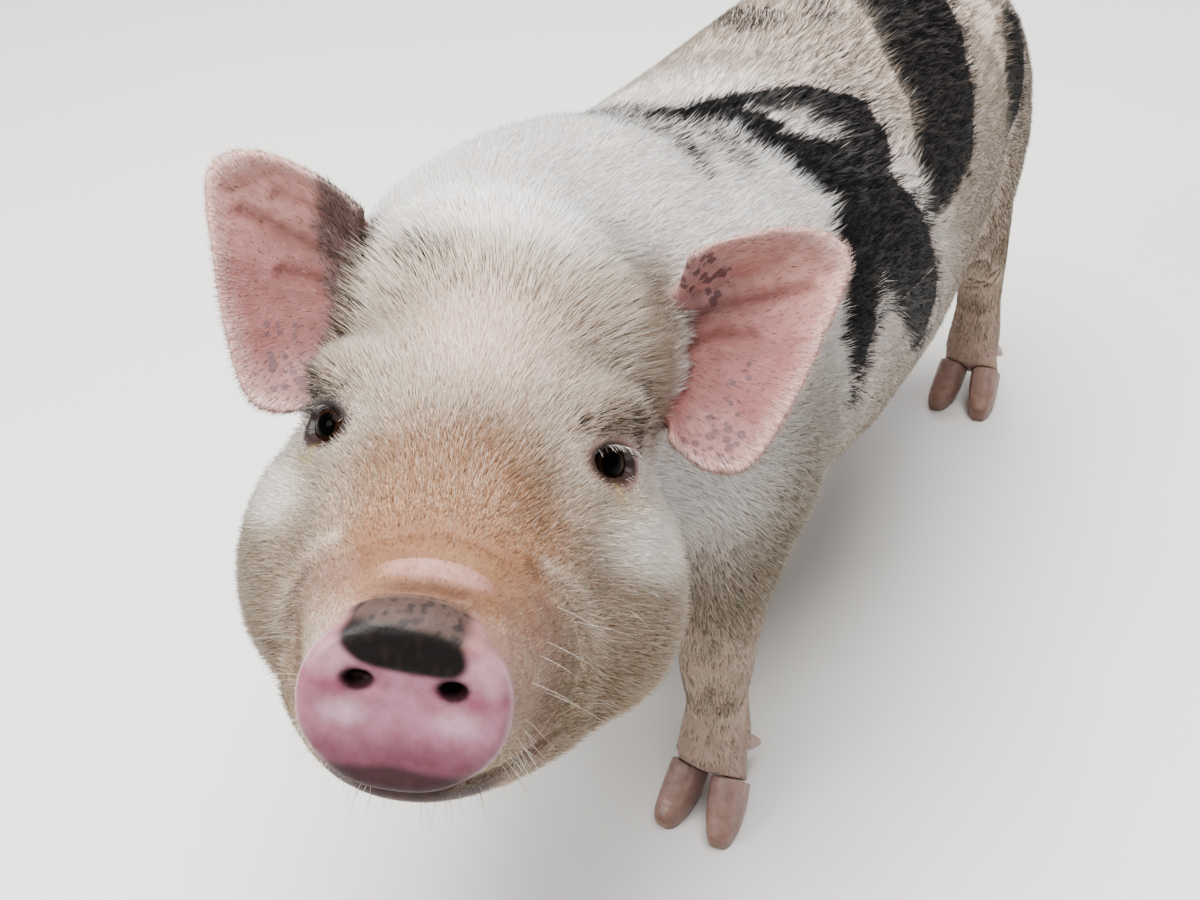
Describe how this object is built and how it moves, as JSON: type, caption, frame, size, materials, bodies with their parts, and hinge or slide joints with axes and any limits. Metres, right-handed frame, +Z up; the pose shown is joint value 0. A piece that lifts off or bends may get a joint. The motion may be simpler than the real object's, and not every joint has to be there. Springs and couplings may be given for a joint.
{
  "type": "miniature pig figure",
  "caption": "Young miniature pig standing with its head raised and turned to its left, white coat with black saddle patches, pink snout and ears",
  "frame": {"origin": "on the floor under the middle of the pig's bounding box", "axes": "+Z up; the pig faces -Y, so +Y runs back to its rump; +X is the pig's left side"},
  "size_m": [0.204, 0.658, 0.3338],
  "materials": {
    "coat": "short bristly hair",
    "ear_skin": "soft bare skin",
    "snout_skin": "moist",
    "eye": "wet gloss",
    "hoof_horn": "dull horn"
  },
  "bodies": {
    "root": {"head": "coat", "neck": "coat", "torso": "coat", "tail": "coat", "leg_front_left": "coat", "leg_front_right": "coat", "leg_hind_left": "coat", "leg_hind_right": "coat", "ear_left": "ear_skin", "ear_right": "ear_skin", "snout_disc": "snout_skin", "eye_left": "eye", "eye_right": "eye", "hoof_front_left_inner": "hoof_horn", "hoof_front_left_outer": "hoof_horn", "hoof_front_right_inner": "hoof_horn", "hoof_front_right_outer": "hoof_horn", "hoof_hind_left_inner": "hoof_horn", "hoof_hind_left_outer": "hoof_horn", "hoof_hind_right_inner": "hoof_horn", "hoof_hind_right_outer": "hoof_horn", "dewclaw_front_left_inner": "hoof_horn", "dewclaw_front_left_outer": "hoof_horn", "dewclaw_front_right_inner": "hoof_horn", "dewclaw_front_right_outer": "hoof_horn", "dewclaw_hind_left_inner": "hoof_horn", "dewclaw_hind_left_outer": "hoof_horn", "dewclaw_hind_right_inner": "hoof_horn", "dewclaw_hind_right_outer": "hoof_horn"}
  },
  "joints": []
}
